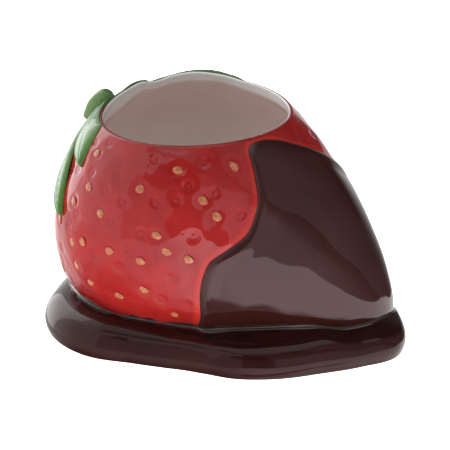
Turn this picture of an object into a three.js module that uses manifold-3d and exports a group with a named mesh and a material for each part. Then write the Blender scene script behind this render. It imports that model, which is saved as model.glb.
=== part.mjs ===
// A sweet dish of glazed earthenware, shaped as a strawberry dipped in chocolate that lies in a puddle
// of it. It is one casting: the hollow berry with its chocolate coat, the leaves, the stem, the seeds
// and the puddle are a single body, open at the top. Millimetres, +Z up, the berry's tip towards +X,
// and the origin in the middle of the flat foot.
import * as THREE from "three";
import Module from "manifold-3d";

// Driving dimensions.
const berry = {
  length: 148.9, // along its axis, calyx end to tip
  radius: 59.5, // where it is thickest
  taper: 0.424, // 0 is an ellipsoid, more is fuller at the calyx and finer at the tip
  dip: degrees(25.4), // the axis falls towards the tip
  centre: new THREE.Vector3(-1.1, 0, 39.8),
};
const rimHeight = 90.6; // the level mouth
const mouthMiddle = new THREE.Vector3(-17.5, 0, rimHeight);
const wall = 3.6; // the casting's thickness
const lip = 1.4; // flat top of the rim, outside to inside
const mouthDepth = 7; // how far the straight-sided mouth is cut before the hollow is wider
const floorHeight = 7; // the hollow's flat floor above the foot
const coatThickness = 1.3; // chocolate over the berry
const stemRadius = 3.7;

// The edge of the chocolate: pairs of the angle round the axis, from the front over the top, and the
// angle from the calyx end to the tip.
const dipLine = [
  [-20, 100.1], [0, 96.4], [12, 95.2], [22, 97.9], [31, 100.1], [42, 98.9], [50, 95.8], [57, 91],
  [63, 86], [70, 87.2], [76, 90.2], [86, 96.3], [100, 102.4], [122, 107.5], [150, 105], [178, 97],
  [205, 94], [232, 99], [262, 103], [300, 99],
];

// The puddle's outline: pairs of the heading from the middle of the foot and the distance there.
const puddleOutline = [
  [-9, 78.8], [8, 71.2], [20, 64.2], [38, 60], [60, 60], [85, 61.5], [110, 64], [135, 69], [158, 74],
  [180, 75.8], [196, 78.4], [210, 80.8], [222, 79.8], [236, 74.4], [250, 64.8], [268, 59.2],
  [280, 59.6], [292, 62.8], [308, 65.2], [324, 67.6], [338, 73],
];
const puddleLean = 0.06; // it is this share thicker under the tip, and thinner under the calyx
// Its section, from the middle outwards over the top and back under: inset from the outline, height.
const puddleSection = [
  [26, 15], [17, 15.8], [12, 16.4], [8.4, 15.8], [5, 14], [2.2, 11.2], [0.6, 8.2], [0, 5.6],
  [0.4, 3], [1.4, 1], [3, 0],
];
// Round the front its shoulder has slumped, and under the tip it is thinner inside the shoulder. Each
// is a sector of headings and the height that the top loses there, at an inset or beyond it.
const puddleSlump = { middle: 300, width: 42, height: 2.4, inset: 9.8, spread: 4.8 };
const puddleDip = { middle: 350, width: 18, height: 3, inset: 4 };

// Leaves round the calyx: heading from the front towards the back, how far the heading bends over the
// leaf's length, length, width, how near its tip it is fullest, thickness, and how far above the rim it
// is trimmed.
const calyx = { alpha: degrees(15), theta: degrees(90) };
const leaves = [
  { heading: -10, bend: 17, length: 44, width: 20, fullness: 1.15, thickness: 2.1, trim: 1.6 },
  { heading: 50, bend: -19, length: 56, width: 16.5, fullness: 1.6, thickness: 2.2, trim: 1.6 },
  { heading: 84, bend: -6, length: 50, width: 18, fullness: 1.6, thickness: 2.2, trim: 1.6 },
  { heading: 118, bend: -6, length: 54, width: 20, fullness: 1.6, thickness: 2.2, trim: 1.6 },
  { heading: 174, bend: 10, length: 30, width: 13.5, fullness: 1.6, thickness: 1.1, trim: 1.6 },
  { heading: 148, bend: 64, length: 65, width: 20, fullness: 1.6, thickness: 2.2, trim: 3.2 },
];

// Seeds stand in rings round the berry, each ring turned on from the last, and all of them are jogged
// from their places. Jogs and twist are shares of a step round the ring.
const seed = { length: 4.6, width: 3.9, height: 0.9, sunk: 0.7, clear: 3.9 };
const seedRings = {
  count: 7,
  first: degrees(39.9),
  apart: degrees(8.7),
  spacing: 23.35,
  turn: degrees(141),
  twist: 0.874,
  jog: 0.714,
  alphaJog: degrees(5.7),
  draw: 1001,
  mostInRing: 40,
  alphaDraws: 500, // where the draws for alpha start, beyond those for theta
};

const berryColumns = 64;
const fleshRows = 20;
const coatRows = 13;
const hollowColumns = 44;
const hollowRows = 22;
const puddleColumns = 64;

const wasm = await Module();
wasm.setup();

function degrees(value) {
  return THREE.MathUtils.degToRad(value);
}

/** The value at an angle of a closed line through [angle, value] pairs, smooth from pair to pair. */
function roundLine(pairs, angle) {
  const count = pairs.length;
  const turns = Math.floor((angle - pairs[0][0]) / 360);
  const x = angle - 360 * turns;
  const at = (i) => {
    const lap = Math.floor(i / count);
    const [knot, value] = pairs[i - lap * count];
    return [knot + 360 * lap, value];
  };
  let i = 0;
  while (at(i + 1)[0] <= x) i += 1;
  const [[x0, y0], [x1, y1], [x2, y2], [x3, y3]] = [at(i - 1), at(i), at(i + 1), at(i + 2)];
  const t = (x - x1) / (x2 - x1);
  const startSlope = ((y2 - y0) / (x2 - x0)) * (x2 - x1);
  const endSlope = ((y3 - y1) / (x3 - x1)) * (x2 - x1);
  const rise = y2 - y1;
  return y1 + t * (startSlope + t * (3 * rise - 2 * startSlope - endSlope
    + t * (startSlope + endSlope - 2 * rise)));
}

/** A closed body as a manifold solid, from a first point, rings of points and a last point. */
function ringSolid(first, rings, last) {
  const columns = rings[0].length;
  const points = [first, ...rings.flat(), last];
  const corner = (ring, column) => 1 + ring * columns + (column % columns);
  const triangles = [];
  for (let c = 0; c < columns; c += 1) {
    triangles.push(0, corner(0, c), corner(0, c + 1));
    for (let r = 0; r + 1 < rings.length; r += 1) {
      triangles.push(corner(r, c), corner(r + 1, c), corner(r + 1, c + 1));
      triangles.push(corner(r, c), corner(r + 1, c + 1), corner(r, c + 1));
    }
    triangles.push(corner(rings.length - 1, c + 1), corner(rings.length - 1, c), points.length - 1);
  }
  return new wasm.Manifold(new wasm.Mesh({
    numProp: 3,
    vertProperties: new Float32Array(points.flatMap((point) => point.toArray())),
    triVerts: new Uint32Array(triangles),
  }));
}

/** A block between two corners as a manifold solid. */
function blockSolid(low, high) {
  const ring = (z) => [[low.x, low.y], [high.x, low.y], [high.x, high.y], [low.x, high.y]]
    .map(([x, y]) => new THREE.Vector3(x, y, z));
  const middle = (z) => new THREE.Vector3((low.x + high.x) / 2, (low.y + high.y) / 2, z);
  return ringSolid(middle(high.z), [ring(high.z), ring(low.z)], middle(low.z));
}

// The berry's surface. Its axis runs from the calyx end to the tip; alpha is 0 at the calyx end and
// pi at the tip; theta goes round the axis, 0 at the front and a quarter turn at the top.
const axis = new THREE.Vector3(Math.cos(berry.dip), 0, -Math.sin(berry.dip));
const front = new THREE.Vector3(0, -1, 0);
const top = new THREE.Vector3().crossVectors(front, axis);

/** The berry's radius at alpha: a sine, swelled towards the calyx end. */
function girth(alpha) {
  const widest = Math.acos((Math.sqrt(1 + 8 * berry.taper ** 2) - 1) / (4 * berry.taper));
  const shape = (angle) => Math.sin(angle) * (1 + berry.taper * Math.cos(angle));
  return (berry.radius * shape(alpha)) / shape(widest);
}

/** The outward direction of the surface at alpha, as [along the axis, away from it]. */
function slopeAt(alpha) {
  const step = 1e-4;
  const along = berry.length / 2 * Math.sin(alpha);
  const away = (girth(alpha + step) - girth(alpha - step)) / (2 * step);
  const size = Math.hypot(along, away);
  return [-away / size, along / size];
}

/** The point at alpha and theta, lifted off the berry's surface. */
function skinPoint(alpha, theta, lift = 0) {
  const [axialSlope, radialSlope] = slopeAt(alpha);
  const along = -berry.length / 2 * Math.cos(alpha) + lift * axialSlope;
  const away = girth(alpha) + lift * radialSlope;
  return berry.centre.clone()
    .addScaledVector(axis, along)
    .addScaledVector(front, away * Math.cos(theta))
    .addScaledVector(top, away * Math.sin(theta));
}

/** Alpha and theta where the line from the berry's centre in a direction meets the surface. */
function skinAngles(direction) {
  const along = direction.dot(axis);
  const theta = Math.atan2(direction.dot(top), direction.dot(front));
  const bearing = Math.acos(-along / direction.length());
  let [low, high] = [0, Math.PI];
  for (let i = 0; i < 40; i += 1) {
    const middle = (low + high) / 2;
    const reached = Math.atan2(girth(middle), berry.length / 2 * Math.cos(middle));
    if (reached < bearing) low = middle;
    else high = middle;
  }
  return [low, theta];
}

/** True inside the berry's surface. */
function insideBerry(point) {
  const arm = point.clone().sub(berry.centre);
  const [alpha] = skinAngles(arm);
  return arm.length() < skinPoint(alpha, 0).sub(berry.centre).length();
}

/** The berry with its chocolate coat: rows follow the dip line, where the coat steps up. */
function coatedBerry() {
  const edge = [[0, 0.35], [0.4, 0.8], [1.3, 1]]; // past the dip line in degrees, share of the coat
  const rings = [];
  const ring = (alphaAt, lift) => Array.from({ length: berryColumns }, (_, c) => {
    const theta = (360 * c) / berryColumns;
    return skinPoint(degrees(alphaAt(roundLine(dipLine, theta))), degrees(theta), lift);
  });
  for (let r = 1; r <= fleshRows; r += 1) rings.push(ring((line) => (line * r) / fleshRows, 0));
  for (const [past, share] of edge) rings.push(ring((line) => line + past, share * coatThickness));
  const start = edge.at(-1)[0];
  for (let r = 1; r < coatRows; r += 1) {
    const share = r / coatRows;
    rings.push(ring((line) => THREE.MathUtils.lerp(line + start, 180, share), coatThickness));
  }
  return ringSolid(skinPoint(0, 0), rings, skinPoint(Math.PI, 0, coatThickness));
}

/** The hollow inside: the berry's shape less the wall, levelled off at the floor. */
function hollow() {
  const level = (point) => point.setZ(Math.max(point.z, floorHeight));
  const rings = [];
  for (let r = 1; r < hollowRows; r += 1) {
    const alpha = (Math.PI * r) / hollowRows;
    rings.push(Array.from({ length: hollowColumns }, (_, c) => (
      level(skinPoint(alpha, (2 * Math.PI * c) / hollowColumns, -wall)))));
  }
  return ringSolid(level(skinPoint(0, 0, -wall)), rings, level(skinPoint(Math.PI, 0, -wall)));
}

/** The straight-sided mouth, cut down from above the rim, inside the lip. */
function mouth() {
  const outline = (z) => Array.from({ length: hollowColumns }, (_, c) => {
    const heading = (2 * Math.PI * c) / hollowColumns;
    const outward = new THREE.Vector3(Math.cos(heading), Math.sin(heading), 0);
    let [low, high] = [0, berry.radius];
    for (let i = 0; i < 30; i += 1) {
      const reach = (low + high) / 2;
      if (insideBerry(mouthMiddle.clone().addScaledVector(outward, reach))) low = reach;
      else high = reach;
    }
    return mouthMiddle.clone().addScaledVector(outward, low - lip).setZ(z);
  });
  const [above, below] = [rimHeight + mouthDepth, rimHeight - mouthDepth];
  return ringSolid(
    mouthMiddle.clone().setZ(above), [outline(above), outline(below)],
    mouthMiddle.clone().setZ(below),
  );
}

/** 1 in the middle of a sector of headings and nearly 0 past its width. */
function inSector(sector, heading) {
  const off = THREE.MathUtils.euclideanModulo(heading - sector.middle + 180, 360) - 180;
  return Math.exp(-((off / sector.width) ** 4));
}

/** The puddle: the section carried round the outline, flat underneath. */
function puddle() {
  const [, widestHeight] = puddleSection.find(([inset]) => inset === 0);
  const rings = puddleSection.map(([inset, height]) => (
    Array.from({ length: puddleColumns }, (_, c) => {
      const heading = (360 * c) / puddleColumns;
      const reach = roundLine(puddleOutline, heading) - inset;
      const [x, y] = [Math.cos(degrees(heading)), Math.sin(degrees(heading))];
      const onShoulder = Math.exp(-(((inset - puddleSlump.inset) / puddleSlump.spread) ** 2));
      const furtherIn = 1 - Math.exp(-((inset / puddleDip.inset) ** 2));
      const lost = puddleSlump.height * onShoulder * inSector(puddleSlump, heading)
        + puddleDip.height * furtherIn * inSector(puddleDip, heading);
      const onTop = height > widestHeight ? 1 : 0;
      return new THREE.Vector3(reach * x, reach * y, height * (1 + puddleLean * x) - lost * onTop);
    })));
  const crown = new THREE.Vector3(0, 0, puddleSection[0][1]);
  return ringSolid(crown, rings, new THREE.Vector3(0, 0, 0));
}

// Places round the calyx are a distance and a heading from it, along the berry's surface.
const calyxRay = skinPoint(calyx.alpha, calyx.theta).sub(berry.centre).normalize();
const calyxFront = front.clone().addScaledVector(calyxRay, -front.dot(calyxRay)).normalize();
const calyxDown = new THREE.Vector3().crossVectors(calyxFront, calyxRay);
const reachOfCalyx = 72; // from the berry's centre

/** The direction from the berry's centre to a place round the calyx. */
function calyxDirection(distance, heading) {
  const turn = distance / reachOfCalyx;
  return calyxRay.clone().multiplyScalar(Math.cos(turn))
    .addScaledVector(calyxFront, Math.sin(turn) * Math.cos(heading))
    .addScaledVector(calyxDown, Math.sin(turn) * Math.sin(heading));
}

/** Half a leaf's width at a share of its length: a narrow neck, full past the middle, a blunt point. */
function leafHalfWidth(leaf, share) {
  const neck = 0.2 * (1 - share);
  return (leaf.width / 2) * (neck + Math.sin(Math.PI * share ** leaf.fullness));
}

/** A leaf on the skin: sections across it with a rounded edge and a groove down the middle. */
function leafSolid(leaf) {
  const sections = 9;
  // One section: shares of the half width, and of the thickness above the skin.
  const across = [
    [-1, -0.4], [-0.86, 0.7], [-0.45, 1], [0, 0.72], [0.45, 1], [0.86, 0.7], [1, -0.4], [0.4, -0.6],
    [-0.4, -0.6],
  ];
  const place = (share, side, lift) => {
    const distance = leaf.length * share;
    const heading = degrees(leaf.heading + leaf.bend * share);
    const spine = calyxDirection(distance, heading);
    const ahead = calyxDirection(distance + 1, heading).sub(spine);
    const sideways = new THREE.Vector3().crossVectors(ahead, spine).normalize();
    const direction = spine.addScaledVector(sideways, side / reachOfCalyx);
    return skinPoint(...skinAngles(direction), lift);
  };
  const rings = [];
  for (let s = 0; s < sections; s += 1) {
    const share = (s + 0.2) / (sections - 0.3);
    rings.push(across.map(([side, rise]) => (
      place(share, -side * leafHalfWidth(leaf, share), rise * leaf.thickness))));
  }
  return ringSolid(place(0, 0, 0), rings, place(1, 0, 0));
}

/** The stem: a stub that leaves the calyx and bends down over the berry's back. */
function stem() {
  const root = skinPoint(calyx.alpha, calyx.theta, -2);
  const bend = new THREE.CatmullRomCurve3([
    root.clone().add(new THREE.Vector3(-2.2, 0.5, -1)),
    root.clone().add(new THREE.Vector3(-3.8, 1.6, 2.6)),
    root.clone().add(new THREE.Vector3(-7.9, 1.2, -0.6)),
    root.clone().add(new THREE.Vector3(-10.4, 0, -7.6)),
  ]);
  const [sections, sides] = [7, 10];
  const frames = bend.computeFrenetFrames(sections, false);
  const rings = [];
  for (let s = 0; s <= sections; s += 1) {
    const middle = bend.getPointAt(s / sections);
    rings.push(Array.from({ length: sides }, (_, c) => {
      const turn = (2 * Math.PI * c) / sides;
      return middle.clone()
        .addScaledVector(frames.normals[s], stemRadius * Math.cos(turn))
        .addScaledVector(frames.binormals[s], -stemRadius * Math.sin(turn));
    }));
  }
  return ringSolid(bend.getPointAt(0), rings, bend.getPointAt(1));
}

/** True where a leaf covers the skin, or nearly. */
function nearLeaf(point) {
  const ray = point.clone().sub(berry.centre).normalize();
  const distance = reachOfCalyx * Math.acos(ray.dot(calyxRay));
  const heading = THREE.MathUtils.radToDeg(Math.atan2(ray.dot(calyxDown), ray.dot(calyxFront)));
  return leaves.some((leaf) => {
    const share = Math.min(distance / leaf.length, 1);
    const turned = heading - leaf.heading - leaf.bend * share;
    const off = Math.abs(THREE.MathUtils.euclideanModulo(turned + 180, 360) - 180);
    const beside = distance * Math.sin(degrees(Math.min(off, 90)));
    const withinLength = distance < leaf.length + seed.clear;
    return withinLength && beside < leafHalfWidth(leaf, share) + seed.clear;
  });
}

/** One seed: a low dome, longer towards the tip. */
function seedSolid(alpha, theta) {
  const sides = 6;
  const place = (share, turn, lift) => {
    const along = (share * seed.length * Math.cos(turn)) / berry.length;
    const around = (share * seed.width * Math.sin(turn)) / 2 / girth(alpha);
    return skinPoint(alpha + along, theta + around, lift);
  };
  const ring = (share, lift) => Array.from({ length: sides }, (_, c) => (
    place(share, (2 * Math.PI * c) / sides, lift)));
  const rings = [ring(0.62, seed.height * 0.8), ring(1, -seed.sunk / 2)];
  return ringSolid(place(0, 0, seed.height), rings, place(0, 0, -seed.sunk));
}

/** The same number from 0 to 1 each time for the same index: the fraction of a large sine. */
function scatter(index) {
  const [indexStep, drawStep, size] = [12.9898, 78.233, 43758.5453];
  const wave = size * Math.sin(index * indexStep + seedRings.draw * drawStep);
  return wave - Math.floor(wave);
}

/** The seeds: every place of the rings that is bare flesh, clear of the rim, puddle, coat and leaves. */
function seeds() {
  const crease = puddleSection[3][1];
  const found = [];
  for (let r = 0; r < seedRings.count; r += 1) {
    const ringAlpha = seedRings.first + r * seedRings.apart;
    const sites = Math.round((2 * Math.PI * girth(ringAlpha)) / seedRings.spacing);
    for (let i = 0; i < sites; i += 1) {
      const index = seedRings.mostInRing * r + i;
      const step = i + seedRings.twist * r + seedRings.jog * (scatter(index) - 0.5);
      const rise = scatter(index + seedRings.alphaDraws) - 0.5;
      const alpha = ringAlpha + seedRings.alphaJog * rise;
      const theta = seedRings.turn + (2 * Math.PI * step) / sites;
      const point = skinPoint(alpha, theta);
      const edge = degrees(roundLine(dipLine, THREE.MathUtils.radToDeg(theta)));
      const onFlesh = (edge - alpha) * berry.length / 2 > seed.clear;
      const inOpen = point.z < rimHeight - seed.clear && point.z > crease + seed.clear;
      if (onFlesh && inOpen && !nearLeaf(point)) found.push(seedSolid(alpha, theta));
    }
  }
  return found;
}

/** A manifold solid as a three.js geometry. */
function toGeometry(solid) {
  const mesh = solid.getMesh();
  const geometry = new THREE.BufferGeometry();
  geometry.setAttribute("position", new THREE.BufferAttribute(mesh.vertProperties, mesh.numProp));
  geometry.setIndex(new THREE.BufferAttribute(mesh.triVerts, 1));
  return geometry;
}

function strawberryCup() {
  const slab = (bottom, top) => blockSolid(
    new THREE.Vector3(-berry.length, -berry.length, bottom),
    new THREE.Vector3(berry.length, berry.length, top),
  );
  const above = (height) => slab(height, berry.length);
  const belowFoot = slab(-berry.length, 0);
  let body = coatedBerry();
  for (const grain of seeds()) body = body.add(grain);
  body = body.subtract(above(rimHeight));
  for (const leaf of leaves) {
    body = body.add(leafSolid(leaf).subtract(above(rimHeight + leaf.trim)));
  }
  body = body.add(puddle()).add(stem());
  return body.subtract(hollow().add(mouth())).subtract(belowFoot);
}

const glaze = new THREE.MeshStandardMaterial({ color: 0xb4282a, roughness: 0.12, metalness: 0 });
const cup = new THREE.Mesh(toGeometry(strawberryCup()), glaze);
cup.name = "strawberry_cup";
const group = new THREE.Group();
group.add(cup);

export default group;
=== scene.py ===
from collections import namedtuple
import bpy
import numpy as np
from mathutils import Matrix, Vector


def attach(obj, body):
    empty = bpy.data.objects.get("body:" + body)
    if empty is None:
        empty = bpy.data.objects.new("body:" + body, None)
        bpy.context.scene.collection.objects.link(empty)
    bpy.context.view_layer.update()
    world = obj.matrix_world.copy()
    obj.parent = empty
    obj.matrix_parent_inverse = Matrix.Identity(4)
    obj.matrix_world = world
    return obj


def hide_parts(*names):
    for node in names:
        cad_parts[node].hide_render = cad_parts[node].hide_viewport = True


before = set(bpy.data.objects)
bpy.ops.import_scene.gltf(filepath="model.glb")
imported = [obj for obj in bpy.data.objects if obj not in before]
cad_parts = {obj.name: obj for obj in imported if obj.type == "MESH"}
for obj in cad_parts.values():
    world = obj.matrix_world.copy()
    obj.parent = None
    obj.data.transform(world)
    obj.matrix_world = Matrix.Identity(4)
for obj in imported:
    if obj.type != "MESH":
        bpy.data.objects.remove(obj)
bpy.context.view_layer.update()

# The berry's flesh: the red outside of the casting, from the rim down into the puddle. It is slip-cast
# earthenware with dimples pressed in the mould, under a clear red glaze. The other regions are of the
# same casting and ride on it. Everything is worked out in millimetres, in the model's own frame.
berry_length, berry_radius, berry_taper, berry_dip = 148.9, 59.5, 0.424, np.radians(25.4)
berry_centre = np.array([-1.1, 0.0, 39.8])
berry_axis = np.array([np.cos(berry_dip), 0.0, -np.sin(berry_dip)])
berry_front = np.array([0.0, -1.0, 0.0])
berry_top = np.cross(berry_front, berry_axis)
upward, flat = np.array([0.0, 0.0, 1.0]), np.array([1.0, 1.0, 0.0])
rim_height, rim_middle = 90.6, np.array([-17.5, 0.0, 0.0])
root_height, root_middle = 5.5, np.array([8.0, 0.0, 0.0])
flesh_columns, flesh_rows, flesh_back_rows, flesh_thickness = 480, 172, 12, 2.0
lip_drop, lip_edge, lip_shift, calm_from, calm_to = 0.7, 1.0, 0.25, 0.4, 4.0
# The edge of the chocolate: theta, the turn round the berry, and alpha, the place along it, in degrees.
dip_line = np.array([
    [-20, 100.1], [0, 96.4], [12, 95.2], [22, 97.9], [31, 100.1], [42, 98.9], [50, 95.8], [57, 91],
    [63, 86], [70, 87.2], [76, 90.2], [86, 96.3], [100, 102.4], [122, 107.5], [150, 105], [178, 97],
    [205, 94], [232, 99], [262, 103], [300, 99]])
flesh_lumps = [(0.05, 8, 40, 5), (0.17, 24, 30, 6)]
dimple_radius, dimple_depth, dimple_steepness, knob_height, knob_radius = 2.5, 0.42, 1.6, 0.75, 0.36
dimple_draw, most_rings, most_places, seed_gap, coat_gap = 31, 40, 60, 5.2, 4.0
pit_radius, pit_depth = 3.2, 0.30
seed_draw, seed_most, seed_alpha_draws = 1001, 40, 500


def unit(arms):
    """Vectors of length 1 that point the same way."""
    return arms / np.linalg.norm(arms, axis=-1, keepdims=True)


def all_round(count):
    """Evenly spaced angles round a whole turn."""
    return 2 * np.pi * np.arange(count) / count


def level_rays(headings):
    """Level vectors of length 1 at headings, which turn from +X to +Y."""
    return np.stack([np.cos(headings), np.sin(headings), 0 * headings], -1)


def smoothstep(value, low, high):
    """0 up to low, 1 from high, and 3 t^2 - 2 t^3 between."""
    t = np.clip((value - low) / (high - low), 0, 1)
    return t * t * (3 - 2 * t)


def last_true(test, low, high, halvings):
    """The last value, from low to high, at which a test is still true, for a whole array by halving."""
    for _ in range(halvings):
        middle = (low + high) / 2
        passed = test(middle)
        low, high = np.where(passed, middle, low), np.where(passed, high, middle)
    return low


def cubic(t, low, rise, start, end):
    """A cubic from low to low + rise as t goes from 0 to 1, whose slopes there are start and end."""
    return low + t * (start + t * (3 * rise - 2 * start - end + t * (start + end - 2 * rise)))


def round_line(pairs, angle):
    """The value at an angle of a closed line through [angle, value] pairs: a cubic from each pair to
    the next, with the slope at a pair that of the line between its neighbours."""
    knots = np.concatenate([pairs[-2:] - [360, 0], pairs, pairs[:3] + [360, 0]])
    x = pairs[0, 0] + np.mod(angle - pairs[0, 0], 360)
    i = np.searchsorted(knots[:, 0], x, side="right") - 1
    (x0, y0), (x1, y1), (x2, y2), (x3, y3) = (np.moveaxis(knots[i + k], -1, 0) for k in (-1, 0, 1, 2))
    start, end = (y2 - y0) / (x2 - x0) * (x2 - x1), (y3 - y1) / (x3 - x1) * (x2 - x1)
    return cubic((x - x1) / (x2 - x1), y1, y2 - y1, start, end)


def girth(alpha):
    """The berry's radius at alpha, 0 at the calyx end and pi at the tip: the sine of alpha times
    1 + taper cos(alpha), scaled so that its largest value is the radius."""
    def shape(angle):
        return np.sin(angle) * (1 + berry_taper * np.cos(angle))
    widest = np.arccos((np.sqrt(1 + 8 * berry_taper**2) - 1) / (4 * berry_taper))
    return berry_radius * shape(alpha) / shape(widest)


def half_section(alpha, lift):
    """How far along the axis and away from it the berry's surface is at alpha: -length/2 cos(alpha) and
    girth(alpha), both moved by lift along the curve's normal."""
    step = 1e-4
    run = berry_length / 2 * np.sin(alpha)
    rise = (girth(alpha + step) - girth(alpha - step)) / (2 * step)
    size = np.hypot(run, rise)
    return -berry_length / 2 * np.cos(alpha) - lift * rise / size, girth(alpha) + lift * run / size


def skin(alpha, theta, lift=0.0):
    """Points of the berry: centre + along * axis + away * (front cos(theta) + top sin(theta))."""
    along, away = half_section(alpha, lift)
    across = np.cos(theta)[..., None] * berry_front + np.sin(theta)[..., None] * berry_top
    return berry_centre + along[..., None] * berry_axis + away[..., None] * across


def skin_angles(arms, lift=0.0):
    """Alpha and theta where lines from the berry's centre meet it: theta is the line's turn from front
    to top, and alpha is looked up in a table of the half section's bearings."""
    table = np.linspace(0, np.pi, 4001)
    along, away = half_section(table, lift)
    ahead, over = arms @ berry_front, arms @ berry_top
    bearing = np.arctan2(np.hypot(ahead, over), -(arms @ berry_axis))
    return np.interp(bearing, np.arctan2(away, -along), table), np.arctan2(over, ahead)


def clearance(points, lift=0.0):
    """How far points lie outside the berry, measured along lines from its centre."""
    arms = points - berry_centre
    alpha, theta = skin_angles(arms, lift)
    surface = skin(alpha, theta, lift) - berry_centre
    return np.linalg.norm(arms, axis=-1) - np.linalg.norm(surface, axis=-1)


def reach_inside(place, longest, lift=0.0):
    """The largest distance, 0 to longest, at which place(distance) is still inside the berry, for a
    whole array of ways."""
    return last_true(lambda reach: clearance(place(reach), lift) < 0, 0 * longest, longest, 40)


def outline(headings, height, middle, inset=0.0):
    """The berry's level outline at a height: points on rays from the middle, moved in by inset."""
    rays = level_rays(headings)
    foot = middle * flat + height * upward
    longest = np.full(headings.shape, berry_length)
    reach = reach_inside(lambda distance: foot + distance[..., None] * rays, longest)
    return foot + (reach - inset)[..., None] * rays


def between(start, end, share):
    """Directions that turn evenly from start to end: the great circle's sines of the shares."""
    start, end = unit(start), unit(end)
    angle = np.arccos(np.clip((start * end).sum(-1, keepdims=True), -1, 1))
    return (np.sin((1 - share) * angle) * start + np.sin(share * angle) * end) / np.sin(angle)


def lip_inset(headings):
    """How far in from the outline the red ends on the lip: edge - shift sin(heading), least behind."""
    return lip_edge - lip_shift * np.sin(headings)


def past_coat_edge(alpha, theta):
    """Millimetres along the berry from the edge of the chocolate towards the tip."""
    edge = np.radians(round_line(dip_line, np.degrees(theta)))
    return (alpha - edge) * berry_length / 2


def waves(points, rows):
    """A smooth random height at points. Each row is a height, wavelength, count and draw, and adds the
    sum of count sines across random directions, scaled to that height."""
    total = 0.0
    for height, wavelength, count, draw in rows:
        random = np.random.default_rng(draw)
        directions = unit(random.normal(size=(count, 3)))
        lengths = wavelength * random.uniform(0.75, 1.35, count)
        phases = random.uniform(0, 2 * np.pi, count)
        turns = points @ (2 * np.pi * directions / lengths[:, None]).T + phases
        total = total + height * (np.sin(turns).sum(-1) * np.sqrt(2 / count))
    return total


def scatter(index):
    """The same number from 0 to 1 for the same index: the fraction of a large sine."""
    size, index_turn, draw_turn = 43758.5453, 12.9898, 78.233
    wave = size * np.sin(index * index_turn + seed_draw * draw_turn)
    return wave - np.floor(wave)


def ring_sites(rings, first, apart, spacing, turn, twist, jog, alpha_jog, jog_draws, alpha_draws):
    """Alpha and theta of places in rings round the berry. Ring r is at first + r * apart, has as many
    places as the spacing allows, is turned on by twist places from the last, and each place is
    jogged along the ring and across it."""
    ring_alpha = first + apart * np.arange(rings)
    counts = np.round(2 * np.pi * girth(ring_alpha) / spacing).astype(int)
    ring = np.repeat(np.arange(rings), counts)
    place = np.arange(counts.sum()) - np.repeat(np.cumsum(counts) - counts, counts)
    step = place + twist * ring + jog * (jog_draws(ring, place) - 0.5)
    alpha = ring_alpha[ring] + alpha_jog * (alpha_draws(ring, place) - 0.5)
    return alpha, turn + 2 * np.pi * step / counts[ring]


def mesh_of(name, points, faces, attributes):
    """A smooth mesh and its object, from points in millimetres, faces and numbers for each point."""
    shape = bpy.data.meshes.new(name)
    shape.from_pydata((points / 1000).tolist(), [], faces)
    shape.polygons.foreach_set("use_smooth", np.ones(len(shape.polygons), bool))
    for key, numbers in attributes.items():
        numbers = numbers.astype(np.float32)
        shape.attributes.new(key, "FLOAT", "POINT").data.foreach_set("value", numbers)
    shape.update()
    piece = bpy.data.objects.new(name, shape)
    bpy.context.scene.collection.objects.link(piece)
    return piece


def piece_of(name, grid, closed="poles", **attributes):
    """A mesh from a grid of points that wraps round its columns. Its rows end in poles, at the middle
    of the first row and of the last, or wrap as well. Attributes are grids of numbers. It is turned
    to face outwards by the sign of its volume."""
    rows, columns = grid.shape[:2]
    points = grid.reshape(-1, 3)
    flat_numbers = {key: numbers.reshape(-1) for key, numbers in attributes.items()}
    row, column = np.meshgrid(np.arange(rows), np.arange(columns), indexing="ij")
    beside, below = (column + 1) % columns, (row + 1) % rows
    quads = np.stack([row * columns + column, row * columns + beside,
                      below * columns + beside, below * columns + column], -1)
    faces = (quads if closed == "wraps" else quads[:-1]).reshape(-1, 4)
    caps = np.zeros((0, 3), int)
    if closed == "poles":
        points = np.concatenate([points, grid[[0, -1]].mean(1)])
        for key, numbers in attributes.items():
            flat_numbers[key] = np.concatenate([flat_numbers[key], numbers[[0, -1]].mean(1)])
        first, last, c = rows * columns, rows * columns + 1, np.arange(columns)
        caps = np.concatenate([
            np.stack([np.full(columns, first), (c + 1) % columns, c], -1),
            np.stack([np.full(columns, last), (rows - 1) * columns + c,
                      (rows - 1) * columns + (c + 1) % columns], -1)])
    triangles = points[np.concatenate([faces[:, [0, 1, 2]], faces[:, [0, 2, 3]], caps])]
    volume = np.einsum("ij,ij->", triangles[:, 0], np.cross(triangles[:, 1], triangles[:, 2]))
    if volume < 0:
        faces, caps = faces[:, ::-1], caps[:, ::-1]
    return mesh_of(name, points, faces.tolist() + caps.tolist(), flat_numbers)


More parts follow.
